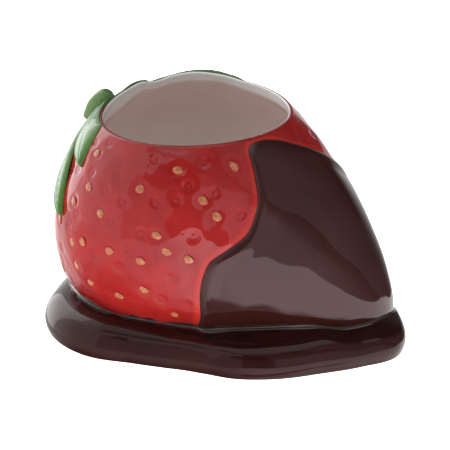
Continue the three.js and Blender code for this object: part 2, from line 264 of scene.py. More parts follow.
class Socket:
    """A shader socket. Operators on it add Math nodes, and make() adds any other node."""

    def __init__(self, tree, socket=None):
        self.tree, self.socket = tree, socket

    def make(self, kind, inputs=None, output=0, stops=None, **settings):
        """A node of a type: its settings and a ramp's stops first, then its inputs' values or links."""
        node = self.tree.nodes.new(kind)
        for key, setting in settings.items():
            setattr(node, key, setting)
        if stops:
            while len(node.color_ramp.elements) < len(stops):
                node.color_ramp.elements.new(1)
            for element, (position, colour) in zip(node.color_ramp.elements, stops):
                element.position, element.color = position, colour
        for key, value in (inputs or {}).items():
            if isinstance(value, Socket):
                self.tree.links.new(value.socket, node.inputs[key])
            else:
                node.inputs[key].default_value = value
        return Socket(self.tree, node.outputs[output] if len(node.outputs) else None)

    def math(self, operation, first, second):
        return self.make("ShaderNodeMath", {0: first, 1: second}, operation=operation)

    def __add__(self, other):
        return self.math("ADD", self, other)

    def __radd__(self, other):
        return self.math("ADD", other, self)

    def __sub__(self, other):
        return self.math("SUBTRACT", self, other)

    def __rsub__(self, other):
        return self.math("SUBTRACT", other, self)

    def __mul__(self, other):
        return self.math("MULTIPLY", self, other)

    def __rmul__(self, other):
        return self.math("MULTIPLY", other, self)

    def step(self, low, high):
        """0 up to low and 1 from high, smoothly."""
        return self.make("ShaderNodeMapRange", {"Value": self, "From Min": low, "From Max": high},
                         interpolation_type="SMOOTHSTEP")

    def mix(self, first, second):
        """From the first colour to the second as this value goes from 0 to 1."""
        return self.make("ShaderNodeMix", {0: self, 6: first, 7: second}, output=2, data_type="RGBA")

    def own_space(self):
        """Places in the piece's own space, in metres."""
        return self.make("ShaderNodeTexCoord", output="Object")

    def noise(self, size, detail, roughness=0.5):
        """A soft noise, 0 to 1, whose grains are about size millimetres."""
        return self.make("ShaderNodeTexNoise", {
            "Vector": self.own_space(), "Scale": 1000 / size, "Detail": detail, "Roughness": roughness})

    def attribute(self, name):
        return self.make("ShaderNodeAttribute", output="Fac", attribute_name=name)

    def bump(self, height, distance):
        """A normal from a height of 0 to 1 that stands for distance millimetres."""
        return self.make("ShaderNodeBump", {"Height": height, "Distance": distance / 1000})


def rgb(red, green, blue):
    return (red, green, blue, 1.0)


def finish_of(name):
    """A new material and the socket that its nodes are made from."""
    material = bpy.data.materials.new(name)
    material.use_nodes = True
    material.node_tree.nodes.clear()
    return material, Socket(material.node_tree)


def glaze(start, colour, roughness, normal=None, **constants):
    """Ends a material in the shader of a fired glaze."""
    inputs = {"Base Color": colour, "Roughness": roughness, "IOR": 1.5}
    inputs.update({key.replace("_", " "): value for key, value in constants.items()})
    if normal is not None:
        inputs["Normal"] = normal
    shader = start.make("ShaderNodeBsdfPrincipled", inputs)
    start.make("ShaderNodeOutputMaterial", {"Surface": shader})


def add(piece, material):
    """Gives a piece its finish and its place in the record."""
    piece.data.materials.append(material)
    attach(piece, "root")


seed_alpha, seed_theta = ring_sites(
    rings=7, first=np.radians(39.9), apart=np.radians(8.7), spacing=23.35,
    turn=np.radians(141), twist=0.874, jog=0.714, alpha_jog=np.radians(5.7),
    jog_draws=lambda ring, place: scatter(seed_most * ring + place),
    alpha_draws=lambda ring, place: scatter(seed_most * ring + place + seed_alpha_draws))
seed_places = skin(seed_alpha, seed_theta)
draws = np.random.default_rng(dimple_draw).random((2, most_rings, most_places))
dimple_alpha, dimple_theta = ring_sites(
    rings=12, first=np.radians(20), apart=np.radians(8.4), spacing=10.4,
    turn=0.3, twist=0.41, jog=0.6, alpha_jog=np.radians(4.5),
    jog_draws=lambda ring, place: draws[0, ring, place],
    alpha_draws=lambda ring, place: draws[1, ring, place])
dimple_places = skin(dimple_alpha, dimple_theta)
seed_gaps = np.linalg.norm(dimple_places[:, None] - seed_places, axis=-1).min(1)
dimple_places = dimple_places[
    (seed_gaps > seed_gap) & (past_coat_edge(dimple_alpha, dimple_theta) < -coat_gap)]

headings = all_round(flesh_columns)
rim_under = outline(headings, rim_height - lip_drop, rim_middle)
root = outline(headings, root_height, root_middle)
shares = np.linspace(0, 1, flesh_rows)[:, None, None]
alpha, theta = skin_angles(between(rim_under - berry_centre, root - berry_centre, shares))
places = skin(alpha, theta)
# How the surface departs from the berry's form: lumps, dimples with a raised middle, and seeds' pits.
dimples = np.zeros(alpha.shape)
for place in dimple_places:
    away = np.linalg.norm(places - place, axis=-1) / dimple_radius
    knob = knob_height * np.exp(-(away / knob_radius)**2)
    dimples += np.exp(-away**4 * dimple_steepness) - knob
pits = np.zeros(alpha.shape)
for place in seed_places:
    pits += np.exp(-(np.linalg.norm(places - place, axis=-1) / pit_radius)**4)
calm = smoothstep(rim_height - places[..., 2], calm_from, calm_to)
lift = calm * (waves(places, flesh_lumps) - dimple_depth * dimples - pit_depth * pits)
outer = skin(alpha, theta, lift)
# The red rolls over on to the lip in a quarter ellipse.
turn = np.linspace(0, np.pi / 2, 4)[:-1, None, None]
edge_in = outline(headings, rim_height, rim_middle, inset=lip_inset(headings))
rolled = edge_in + np.sin(turn) * (outer[0] - edge_in) * flat
rolled = rolled + (1 - np.cos(turn)) * (outer[0] - edge_in) * upward
shares = np.linspace(1, 0, flesh_back_rows)[:, None, None]
back_alpha, back_theta = skin_angles(between(rim_under - berry_centre, root - berry_centre, shares))
back = skin(back_alpha, back_theta, -flesh_thickness)


def padded_rows(numbers, fill):
    """The outer rows' numbers with fill on the rows that roll over the rim and on the back."""
    return np.concatenate([np.full((len(rolled), flesh_columns), fill), numbers,
                           np.full((flesh_back_rows, flesh_columns), fill)])


flesh = piece_of("flesh", np.concatenate([rolled, outer, back]), closed="wraps",
                 past=padded_rows(past_coat_edge(alpha, theta), -40.0), dimple=padded_rows(dimples, 0.0))

material, start = finish_of("red_glaze_over_clay")
pooled = start.noise(14, 3).step(0.35, 0.7)
speckle = start.noise(1.6, 2).step(0.30, 0.42)
painted_light_by_coat = start.attribute("past").step(-3.2, -0.8)
deep = start.attribute("dimple").step(0.1, 0.9)
colour = pooled.mix(rgb(0.31, 0.0150, 0.0135), rgb(0.262, 0.0115, 0.0110))
colour = (deep * 0.25).mix(colour, rgb(0.24, 0.010, 0.010))
# Along the coat's edge the red is painted brighter and more saturated. This is painted light: it copies
# the look where the flesh mirrors the dark coat and shows no pale reflection.
colour = (painted_light_by_coat * 0.7).mix(colour, rgb(0.52, 0.026, 0.016))
colour = ((1 - speckle) * 0.25).mix(colour, rgb(0.20, 0.012, 0.012))
pinholes = start.make("ShaderNodeTexVoronoi", {
    "Vector": start.own_space(), "Scale": 210.0, "Randomness": 1.0})
grain = start.bump(pinholes.step(0.0, 0.22), 0.05)
glaze(start, colour, 0.045, grain, Specular_Tint=rgb(1.0, 0.92, 1.0))
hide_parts("strawberry_cup")
add(flesh, material)

# The lining: cream glaze over the lip, down the straight-sided mouth and over the hollow inside, as far
# as the flat floor. It was poured in and out of the casting, so it is even and soft at every corner.
wall, back_wall, end_wall, end_middle, end_width = 3.6, 2.4, 5.0, 196, 38
floor_height, floor_softness, mouth_low, corner_drop, thinning = 7.0, 3.0, 50.0, 1.5, 10
lip, lip_widening, lip_sink, lip_overlap, full_rise = 1.4, 0.25, 0.5, 0.25, 2.0
under_depth, under_drop, under_softness = 1.5, 1.2, 0.5
lining_columns, bowl_rows, straight_rows, lip_rows, under_rows = 240, 90, 9, 11, 12
# How far the cut of the mouth rises above its level, where the leaves stand up round the back of it.
mouth_line = np.array([
    [60, 0], [82, 0.3], [98, 1.9], [115, 2.9], [128, 2.1], [139, 1.0], [151, 2.4], [165, 1.6],
    [190, 0.9], [212, 0], [270, 0], [330, 0]])


def mouth_rise(points):
    """The rise of the cut at the headings of points round the mouth's middle, and 0 where it has none."""
    arms = points - rim_middle
    return np.maximum(round_line(mouth_line, np.degrees(np.arctan2(arms[..., 1], arms[..., 0]))), 0)


def turned_from(angle, middle):
    """Degrees from the middle to an angle, -180 to 180."""
    return np.mod(angle - middle + 180, 360) - 180


def in_sector(headings, middle, width):
    """1 in the middle of a sector of headings and nearly 0 past its width: exp(-(off / width)^4)."""
    return np.exp(-(turned_from(np.degrees(headings), middle) / width)**4)


def levelled(points, height, softness):
    """Points kept above a level: z becomes the soft maximum of z and the height."""
    drop = points[..., 2] - height
    kept = height + (drop + np.hypot(drop, softness)) / 2
    return np.concatenate([points[..., :2], kept[..., None]], -1)


headings = all_round(lining_columns)
rise = mouth_rise(outline(headings, rim_height, rim_middle))
lip_rise = np.maximum(rise - lip_sink, 0)
mouth_edge = outline(headings, rim_height, rim_middle, inset=lip + lip_widening * rise)
mouth_foot = mouth_edge * flat + mouth_low * upward
climb, back_climb, end_climb = (
    reach_inside(lambda z: mouth_foot + z[..., None] * upward,
                 np.full(lining_columns, rim_height - mouth_low), -thickness)
    for thickness in (wall, back_wall, end_wall))
at_end = in_sector(headings, end_middle, end_width)
raised = np.minimum(rise / full_rise, 1) * (1 - at_end)
climb = climb + raised * (back_climb - climb) + at_end * (end_climb - climb)
corner = mouth_foot + (climb[..., None] - corner_drop) * upward

shares = np.linspace(0.992, 0, bowl_rows)[:, None, None]
bowl_alpha, bowl_theta = skin_angles(between(corner - berry_centre, -upward, shares), -wall)
thinned = (wall - back_wall) * raised - (end_wall - wall) * at_end
thinned = thinned * np.exp(-thinning * shares[..., 0])
bowl = levelled(skin(bowl_alpha, bowl_theta, thinned - wall), floor_height, floor_softness)
shares = np.linspace(0, 1, straight_rows)[1:, None, None]
lip_base = mouth_edge + (lip_rise[:, None] - lip_drop) * upward
straight = bowl[-1] + shares**0.8 * (lip_base - bowl[-1])
turn = np.linspace(0, np.pi, lip_rows)[1:-1, None, None]
lip_out = outline(headings, rim_height, rim_middle, inset=lip_inset(headings) - lip_overlap)
lip_round = (mouth_edge + lip_out) / 2 * flat + (rim_height + lip_rise[:, None]) * upward
lip_round = lip_round + np.cos(turn) * (mouth_edge - lip_out) / 2 * flat
lip_round = lip_round - lip_drop * (1 - np.sin(turn)) * upward
shares = np.linspace(0.03, 0.985, under_rows)[:, None, None]
lip_under = outline(headings, rim_height - under_drop, rim_middle)
under_alpha, under_theta = skin_angles(between(lip_under - berry_centre, -upward, shares))
under = levelled(skin(under_alpha, under_theta, -under_depth), floor_height - under_drop, under_softness)
on_cut = np.concatenate([np.zeros(bowl_rows), [0.5], np.ones(len(straight) + len(lip_round) - 1),
                         np.zeros(under_rows)])
lining = piece_of("lining", np.concatenate([bowl, straight, lip_round, under]),
                  cut=on_cut[:, None] + 0 * headings)

material, start = finish_of("cream_glaze")
cloud = start.noise(26, 2).step(0.3, 0.7)
colour = cloud.mix(rgb(0.93, 0.765, 0.73), rgb(0.90, 0.725, 0.685))
# Below about 54 mm the cream is painted lighter. This is painted light: the lower back wall of the hollow
# gets more light through the mouth.
above_foot = start.make("ShaderNodeSeparateXYZ", {"Vector": start.own_space()}, output=2) * 1000
colour = above_foot.step(54, 76).mix(rgb(0.98, 0.895, 0.845), colour)
# The lip and the straight cut band of the mouth are painted near white, lighter than the pinker cream of
# the hollow. This is painted light on the band that the light reaches, against the hollow in shade.
colour = start.attribute("cut").step(0.2, 0.8).mix(colour, rgb(0.985, 0.96, 0.94))
glaze(start, colour, 0.10, start.bump(start.noise(9, 1), 0.10))
add(lining, material)

# The chocolate coat: a thicker dark brown glaze over the tip half, moulded as a dipped coat that steps
# up at a wavy edge. The edge is rounded and less shiny, with a low bead behind it, and its upper corner
# rises more gently. The rest is smooth.
coat_thickness, coat_edge_width, coat_edge_reach, coat_foot, coat_back = 1.3, 2.8, 8.0, 6.0, 0.9
bead_height, bead_place, bead_width = 0.10, 3.4, 1.5
trough_depth, trough_place, trough_width = 0.10, 7.5, 2.0
corner_theta, corner_width, corner_ease = 73, 13, 2.4
coat_waves = [(0.07, 17, 30, 15), (0.12, 42, 20, 16)]
still_reach, foot_softness = 10, 0.4
coat_columns, coat_edge_rows, coat_rows, coat_back_rows = 384, 26, 120, 12


def coat_lift(past):
    """The coat's height over the berry: a quarter ellipse up from its edge, with a bead behind it and
    a slight trough behind the bead."""
    ease = np.clip(past / coat_edge_width, 0, 1)
    bead = bead_height * np.exp(-((past - bead_place) / bead_width)**2)
    trough = trough_depth * np.exp(-((past - trough_place) / trough_width)**2)
    return coat_thickness * np.sqrt(1 - (1 - ease)**2) + (bead - trough) * ease


theta = all_round(coat_columns)
edge_alpha = np.radians(round_line(dip_line, np.degrees(theta)))
edge_past = coat_edge_reach * np.linspace(0, 1, coat_edge_rows)[:, None]**1.5
alpha = edge_alpha + edge_past / (berry_length / 2)
shares = np.linspace(0, 0.997, coat_rows)[1:, None]
alpha = np.concatenate([alpha, alpha[-1] + shares * (np.pi - alpha[-1])])
past = (alpha - edge_alpha) * berry_length / 2
corner = 1 + corner_ease * np.exp(-((np.degrees(theta) - corner_theta) / corner_width)**2)
lift = coat_lift(past / corner) + smoothstep(past, 0, still_reach) * waves(skin(alpha, theta), coat_waves)
outer = levelled(skin(alpha, theta, lift), coat_foot, foot_softness)
back_alpha = np.pi - np.linspace(0.01, 1, coat_back_rows)[:, None] * (np.pi - edge_alpha + 0.004)
back = levelled(skin(back_alpha, theta, -coat_back), coat_foot + coat_back, foot_softness)
coat = piece_of("chocolate_coat", np.concatenate([outer, back]), closed="wraps",
                past=np.concatenate([past, np.full(back_alpha.shape, -1.0)]))

material, start = finish_of("chocolate_glaze")
cloud = start.noise(30, 2).step(0.3, 0.7)
colour = cloud.mix(rgb(0.027, 0.0068, 0.0056), rgb(0.036, 0.0086, 0.0070))
ripple = start.bump(start.noise(13, 1), 0.09)
by_edge = 1 - start.attribute("past").step(0.8, 3.0)
glaze(start, colour, 0.04 + by_edge * 0.3, ripple, IOR=1.55, Specular_Tint=rgb(1.0, 0.80, 0.85))
add(coat, material)

# The puddle: chocolate that ran down and set round the berry, cast as a thick rounded slab under a dark
# glaze that is a little duller than the coat's. It creeps up the berry in a small glossy fillet.
puddle_outline = np.array([
    [-9, 78.8], [8, 71.2], [20, 64.2], [38, 60], [60, 60], [85, 61.5], [110, 64], [135, 69], [158, 74],
    [180, 75.8], [196, 78.4], [210, 80.8], [222, 79.8], [236, 74.4], [250, 64.8], [268, 59.2],
    [280, 59.6], [292, 62.8], [308, 65.2], [324, 67.6], [338, 73]])
# Its section, from the foot up over the shoulder: the inset from the outline, and the height.
puddle_section = np.array([
    [3.2, 0.15], [1.4, 1], [0.4, 3], [0, 5.6], [0.6, 8.2], [2.2, 11.2], [5, 14], [8.4, 15.8],
    [12, 16.4], [17, 15.8], [26, 15]])
puddle_lean, top_from, top_to = 0.06, 5.6, 8.2
# Round the front its shoulder has slumped, and under the tip it is thinner inside the shoulder: a
# sector's middle and width in degrees, the height that the top loses, and the inset.
slump_middle, slump_width, slump_height, slump_inset, slump_spread = 300, 42, 2.4, 9.8, 4.8
dip_middle, dip_width, dip_height, dip_inset = 350, 18, 3.0, 4.0
shell_waves, wave_up, wave_out = [(0.25, 30, 20, 21), (0.08, 13, 20, 22)], 0.7, 0.5
fillet_reach, fillet_rise, fillet_sink, ring_inset, under_height = 2.6, 2.3, 0.10, 2.2, 0.6
# Where the glaze goes on into the wall behind the fillet: the rise over the crease, and the depth.
tucks = [(2.6, 0.6), (1.5, 1.6)]
puddle_columns, puddle_rows, fillet_rows, section_tries = 512, 64, 12, 400
headings = all_round(puddle_columns)
outward = level_rays(headings)
reach = round_line(puddle_outline, np.degrees(headings))


def smooth_curve(knots, shares):
    """A curve through knots at shares of its chord length: cubics whose slope at a knot is that of the
    line between its neighbours."""
    chord = np.concatenate([[0], np.cumsum(np.linalg.norm(np.diff(knots, axis=0), axis=1))])
    slopes = np.gradient(knots, chord, axis=0)
    x = np.clip(shares, 0, 1) * chord[-1]
    i = np.clip(np.searchsorted(chord, x, side="right") - 1, 0, len(knots) - 2)
    span = (chord[i + 1] - chord[i])[..., None]
    t = (x - chord[i])[..., None] / span
    return cubic(t, knots[i], knots[i + 1] - knots[i], slopes[i] * span, slopes[i + 1] * span)


def puddle_point(shares):
    """Points of the puddle's section at shares of it, carried to every heading: the outline's reach
    less the inset, and the height times 1 + lean cos(heading), less the slump and the dip on top."""
    inset, height = np.moveaxis(smooth_curve(puddle_section, shares), -1, 0)
    slump = slump_height * np.exp(-((inset - slump_inset) / slump_spread)**2)
    dip = dip_height * (1 - np.exp(-(inset / dip_inset)**2))
    lost = (slump * in_sector(headings, slump_middle, slump_width)
            + dip * in_sector(headings, dip_middle, dip_width))
    on_top = smoothstep(height, top_from, top_to)
    tall = height * (1 + puddle_lean * np.cos(headings)) - lost * on_top
    return (reach - inset)[..., None] * outward + tall[..., None] * upward


def dressed_clearance(points):
    """How far points lie outside the berry with its coat on."""
    alpha, theta = skin_angles(points - berry_centre)
    covered = coat_thickness * smoothstep(past_coat_edge(alpha, theta), 0, coat_edge_width)
    return clearance(points) - covered


# The crease is where the section first meets the dressed berry.
tries = np.linspace(0.2, 1, section_tries)
hidden = dressed_clearance(puddle_point(tries[:, None])) < 0
crease_share = tries[np.argmax(hidden, axis=0)]
crease_share = last_true(lambda share: dressed_clearance(puddle_point(share)) > 0,
                         crease_share - (tries[1] - tries[0]), crease_share, 20)
crease = puddle_point(crease_share)
section_length = np.linalg.norm(np.diff(puddle_section, axis=0), axis=1).sum()
shares = np.linspace(0, 1, puddle_rows)[:, None] * (crease_share - fillet_reach / section_length)
shell = puddle_point(shares)
shell_wave = smoothstep(shares, 0.12, 0.4) * waves(shell, shell_waves)
shell = shell + shell_wave[..., None] * (wave_up * upward + wave_out * outward)


def wall_point(rise, lift):
    """Points on the berry's wall a rise above the crease, lifted off the coat or the flesh."""
    alpha, theta = skin_angles(crease + rise * upward - berry_centre)
    past = past_coat_edge(alpha, theta)
    return skin(alpha, theta, coat_lift(past) * (past > 0) + lift)


# The fillet is a quadratic curve from the shell to the wall, bent round the crease.
t = np.linspace(0, 1, fillet_rows)[1:, None, None]
top_of_fillet = wall_point(fillet_rise, -fillet_sink)
fillet = (1 - t)**2 * shell[-1] + 2 * t * (1 - t) * crease + t**2 * top_of_fillet
tucked = np.stack([wall_point(rise, -depth) for rise, depth in tucks])
low_arm = tucked[-1] - root_middle
low_ring = outline(np.arctan2(low_arm[:, 1], low_arm[:, 0]), root_height, root_middle, inset=ring_inset)
inside = np.stack([(tucked[-1] + low_ring) / 2, low_ring, 0.5 * low_ring + 0.5 * low_ring.mean(0)])
foot_line = puddle_point(np.zeros(puddle_columns)) * flat
underside = np.stack([0.5 * foot_line, 0.98 * foot_line]) + under_height * upward
in_fillet = np.concatenate([np.zeros(len(underside) + len(shell)), np.sin(np.pi * t[:, 0, 0])**0.5,
                            np.zeros(len(tucked) + len(inside))])
puddle = piece_of("chocolate_puddle", np.concatenate([underside, shell, fillet, tucked, inside]),
                  pooled=in_fillet[:, None] + 0 * headings)

material, start = finish_of("puddle_glaze")
cloud = start.noise(30, 2).step(0.3, 0.7)
colour = cloud.mix(rgb(0.020, 0.0052, 0.0043), rgb(0.028, 0.0070, 0.0057))
ripple = start.bump(start.noise(13, 1), 0.10)
pooled = start.attribute("pooled").step(0.1, 0.8)
glaze(start, colour, 0.06, ripple, Specular_IOR_Level=0.28, Specular_Tint=rgb(1.0, 0.85, 0.88),
      Coat_Weight=pooled, Coat_Roughness=0.04)
add(puddle, material)

# The foot: the flat underside, wiped clean of glaze before the firing so that it doesn't stick to the
# kiln shelf. It is bare, fine-grained clay with a slightly rounded edge.
foot_inset, foot_thickness, foot_round = 3.5, 1.2, 0.4
turn = np.linspace(0, np.pi / 2, 5)[:, None, None]
foot_edge = (reach - foot_inset)[:, None] * outward
rounded = foot_edge + foot_round * ((np.sin(turn) - 1) * outward + (1 - np.cos(turn)) * upward)
tops = np.stack([foot_edge, 0.5 * foot_edge]) + foot_thickness * upward
foot = piece_of("bare_foot", np.concatenate([[0.5 * foot_edge], rounded, tops]))

material, start = finish_of("bare_clay")
grog = start.noise(0.9, 4, 0.7)
colour = grog.step(0.3, 0.7).mix(rgb(0.60, 0.52, 0.44), rgb(0.70, 0.63, 0.55))
glaze(start, colour, 0.85, start.bump(grog, 0.08))
add(foot, material)

# The leaves of the calyx: six thick moulded leaves that lie on the berry's shoulder, each with a groove
# down its middle and faint side veins, under green glaze. Those along the mouth stop at the rim.
calyx_alpha, calyx_theta, calyx_reach = np.radians([15.0]), np.radians([90.0]), 72.0
Leaf = namedtuple("Leaf", "heading bend length width fullness thickness flatness")
leaves = [Leaf(-10, 17, 44, 20, 1.15, 2.1, 2), Leaf(50, -19, 56, 16.5, 1.6, 2.2, 6),
          Leaf(84, -6, 50, 18, 1.6, 2.2, 6), Leaf(118, -6, 54, 20, 1.6, 2.2, 6),
          Leaf(174, 10, 30, 13.5, 1.6, 1.1, 7), Leaf(148, 64, 65, 20, 1.6, 2.2, 7)]
leaf_base, leaf_sink, over_rim, below_cut, dome_power, end_power = 0.2, 0.9, 0.2, 0.3, 0.55, 14
groove_depth, groove_width = 0.13, 0.11
vein_depth, vein_spacing, vein_slant, vein_start = 0.06, 6.5, 1.1, 0.1
leaf_rows, leaf_columns, leaf_tries = 72, 33, 161
calyx_ray = unit(skin(calyx_alpha, calyx_theta)[0] - berry_centre)
calyx_front = unit(berry_front - (berry_front @ calyx_ray) * calyx_ray)
calyx_down = np.cross(calyx_front, calyx_ray)


def calyx_direction(distance, heading):
    """The direction from the berry's centre to a place at a distance and a heading from the calyx."""
    turn = (distance / calyx_reach)[..., None]
    sideways = np.cos(heading)[..., None] * calyx_front + np.sin(heading)[..., None] * calyx_down
    return np.cos(turn) * calyx_ray + np.sin(turn) * sideways


def leaf_half_width(leaf, share):
    """Half the width at a share of the length: width/2 (base (1 - share) + sin(pi share^fullness))."""
    return leaf.width / 2 * (leaf_base * (1 - share) + np.sin(np.pi * share**leaf.fullness))


def leaf_place(leaf, share, side):
    """Alpha and theta of the skin under a leaf, at a share of its length and millimetres aside."""
    turned = np.radians(leaf.heading + leaf.bend * share)
    spine = calyx_direction(leaf.length * share, turned)
    ahead = calyx_direction(leaf.length * share + 1, turned) - spine
    aside = unit(np.cross(ahead, spine))
    return skin_angles(spine - aside * side[..., None] / calyx_reach)


def leaf_grid(leaf):
    """One leaf as a grid, a row for each section across it. A section runs over the top, whose height
    falls off as (1 - |side|^flatness)^power and dips at the midrib, and back underneath in the skin.
    Where the skin is above the mouth's cut, the section is narrowed to the part that isn't, and what
    is above the rim stands upright: it is moved outwards by its height over it."""
    share = np.sin(np.linspace(0.03, 0.985, leaf_rows) * np.pi / 2)[:, None]**1.15
    half = leaf_half_width(leaf, share)
    tries = np.linspace(-1, 1, leaf_tries)
    skin_places = skin(*leaf_place(leaf, share, half * tries))
    allowed = rim_height + np.maximum(over_rim, mouth_rise(skin_places) - below_cut)
    fits = skin_places[..., 2] <= allowed
    from_high = np.cumprod(fits[:, ::-1], axis=1)[:, ::-1] > 0
    from_low = np.cumprod(fits, axis=1) > 0
    use_high = fits[:, -1:]
    low = np.where(use_high, tries[np.argmax(from_high, 1)][:, None], -1.0)
    high = np.where(use_high, 1.0, tries[np.maximum(from_low.sum(1) - 1, 0)][:, None])
    top = np.sin(np.linspace(-1, 1, leaf_columns) * np.pi / 2)
    side = np.concatenate([top, [0.7, 0.0, -0.7]])
    across = low + (high - low) * (side + 1) / 2
    dome = (1 - np.minimum(np.abs(side), 1)**leaf.flatness)**dome_power
    groove = groove_depth * np.exp(-(across / groove_width)**2)
    along = share * leaf.length / vein_spacing - vein_slant * np.abs(across)
    vein = vein_depth * np.cos(2 * np.pi * along)**8 * (np.abs(across) > vein_start)
    ends = np.sqrt(np.clip(1 - np.abs(2 * share - 1)**end_power, 0, 1))
    lift = leaf.thickness * ends * dome * (1 - groove - vein)
    lift = np.where(np.arange(len(side)) < len(top), lift, -leaf_sink)
    alpha, theta = leaf_place(leaf, share, half * across)
    grid = skin(alpha, theta, lift)
    past_rim = np.maximum(skin(alpha, theta)[..., 2] - rim_height, 0)[..., None]
    return grid + past_rim * unit((grid - rim_middle) * flat), np.abs(across)


material, start = finish_of("leaf_glaze")
edge = start.attribute("edge").step(0.55, 1.0)
rib = 1 - start.attribute("edge").step(0.03, 0.16)
cloud = start.noise(11, 3).step(0.3, 0.75)
streak = start.noise(2.2, 2).step(0.35, 0.65)
colour = cloud.mix(rgb(0.052, 0.160, 0.026), rgb(0.085, 0.200, 0.042))
colour = (streak * 0.25).mix(colour, rgb(0.06, 0.14, 0.035))
colour = (edge * 0.15).mix(colour, rgb(0.20, 0.28, 0.11))
colour = (rib * 0.4).mix(colour, rgb(0.045, 0.11, 0.03))
glaze(start, colour, 0.08, start.bump(start.noise(3.5, 2), 0.10), Specular_IOR_Level=0.42)
for number, leaf in enumerate(leaves, 1):
    grid, edge = leaf_grid(leaf)
    add(piece_of(f"leaf_{number}", grid, edge=edge), material)

# The stem: a short round stub that leaves the middle of the calyx and hooks down over the berry's end.
# It is thinner where it is joined on, clear of the mouth, and its cut end is flat and paler.
stem_radius, stem_taper, stem_taper_length, stem_sink = 3.7, 0.6, 5.0, 2.0
end_round, end_share, cut_rim = 1.1, 0.72, 0.5
ridge_height, ridge_count, ridge_turn = 0.025, 5, 0.7
stem_rows, stem_columns = 44, 40
stem_line = np.array([[-2.2, 0.5, -1], [-3.8, 1.6, 2.6], [-7.9, 1.2, -0.6], [-10.4, 0, -7.6]])
middle = smooth_curve(skin(calyx_alpha, calyx_theta, -stem_sink) + stem_line,
                      np.linspace(0, 1, stem_rows))
ahead = unit(np.gradient(middle, axis=0))
across = unit(np.cross(ahead, [0.0, 1.0, 0.0]))
beside = np.cross(ahead, across)
run = np.concatenate([[0], np.cumsum(np.linalg.norm(np.diff(middle, axis=0), axis=1))])
end_gap = np.clip((run[-1] - run) / end_round, 0, 1)
radius = stem_radius * (end_share + (1 - end_share) * np.sqrt(1 - (1 - end_gap)**2))
radius = radius * (stem_taper + (1 - stem_taper) * smoothstep(run, 0, stem_taper_length))
around = all_round(stem_columns)
ridges = 1 + ridge_height * np.cos(ridge_count * around + ridge_turn)
ring = np.cos(around)[:, None] * across[:, None] + np.sin(around)[:, None] * beside[:, None]
tube = middle[:, None] + radius[:, None, None] * ridges[:, None] * ring
cut_face = middle[-1] + np.array([0.62, 0.5, 0.2])[:, None, None] * stem_radius * ring[-1]
cut_face = cut_face - np.array([0.0, 0.25, 0.35])[:, None, None] * ahead[-1]
on_cut = np.concatenate([smoothstep(run, run[-1] - cut_rim, run[-1]), np.ones(len(cut_face))])
stem = piece_of("stem", np.concatenate([tube, cut_face]), cut=on_cut[:, None] + 0 * around)

material, start = finish_of("stem_glaze")
cloud = start.noise(5, 3).step(0.3, 0.7)
colour = cloud.mix(rgb(0.09, 0.19, 0.055), rgb(0.14, 0.24, 0.08))
colour = (start.attribute("cut") * 0.5).mix(colour, rgb(0.24, 0.33, 0.15))
glaze(start, colour, 0.08, start.bump(start.noise(2.5, 2), 0.08))
add(stem, material)

# The seeds: low domes moulded in the dimples and brushed with tan and straw-coloured glaze. They stand
# in rings round the berry where its flesh is bare, and not under the leaves.
seed_length, seed_width, seed_height, seed_clear, crease_height = 4.6, 3.9, 0.9, 3.9, 15.8
seed_rings = np.array([0.0, 0.2, 0.4, 0.58, 0.74, 0.87, 0.96, 1.03])[:, None]
seed_doming, seed_sunk, rim_sunk, seed_root, seed_columns = 0.55, 0.25, 0.6, 1.2, 20
calyx_arms = unit(seed_places - berry_centre)
from_calyx = calyx_reach * np.arccos(calyx_arms @ calyx_ray)
towards = np.degrees(np.arctan2(calyx_arms @ calyx_down, calyx_arms @ calyx_front))
under_leaf = np.zeros(len(seed_places), bool)
for leaf in leaves:
    share = np.minimum(from_calyx / leaf.length, 1)
    off = np.abs(turned_from(towards, leaf.heading + leaf.bend * share))
    beside = from_calyx * np.sin(np.radians(np.minimum(off, 90)))
    under_leaf |= ((from_calyx < leaf.length + seed_clear)
                   & (beside < leaf_half_width(leaf, share) + seed_clear))
shown = ((past_coat_edge(seed_alpha, seed_theta) < -seed_clear) & ~under_leaf
         & (seed_places[:, 2] < rim_height - seed_clear)
         & (seed_places[:, 2] > crease_height + seed_clear))
alpha, theta = seed_alpha[shown][:, None, None], seed_theta[shown][:, None, None]
around = all_round(seed_columns)
# Each seed's outline is a slightly uneven oval, and which way depends on its place.
wobble = 1 + 0.07 * np.cos(2 * around + 9 * alpha) + 0.05 * np.cos(3 * around + 31 * theta)
along = seed_rings * wobble * seed_length / 2 * np.cos(around) / (berry_length / 2)
aside = seed_rings * wobble * seed_width / 2 * np.sin(around) / girth(alpha)
dome = np.sqrt(np.clip(1 - (seed_rings / seed_rings[-1])**2, 0, 1))
height = seed_doming * seed_height * dome - seed_sunk - rim_sunk * (seed_rings > 1)
tops = skin(alpha + along, theta + aside, height)
# Each seed's points are its top, its rings from the second out, and its root in the skin.
points = np.concatenate([tops[:, 0, :1], tops[:, 1:].reshape(len(tops), -1, 3),
                         skin(alpha, theta, -seed_root)[:, 0]], 1)
r, c = np.meshgrid(np.arange(len(seed_rings) - 2), np.arange(seed_columns), indexing="ij")
inner, after = 1 + r * seed_columns, (c + 1) % seed_columns
quads = np.stack([inner + c, inner + seed_columns + c, inner + seed_columns + after, inner + after], -1)
c, after, root = c[0], after[0], points.shape[1] - 1
outermost = root - seed_columns
fans = np.stack([np.stack([0 * c, 1 + c, 1 + after], -1),
                 np.stack([0 * c + root, outermost + after, outermost + c], -1)])
offsets = points.shape[1] * np.arange(len(points))[:, None, None]
quads = (quads.reshape(-1, 4) + offsets).reshape(-1, 4)
fans = (fans.reshape(-1, 3) + offsets).reshape(-1, 3)
out = np.concatenate([[0.0], np.repeat(seed_rings[1:, 0], seed_columns), [1.0]])
seeds = mesh_of("seeds", points.reshape(-1, 3), quads.tolist() + fans.tolist(),
                {"out": np.tile(out, len(points))})

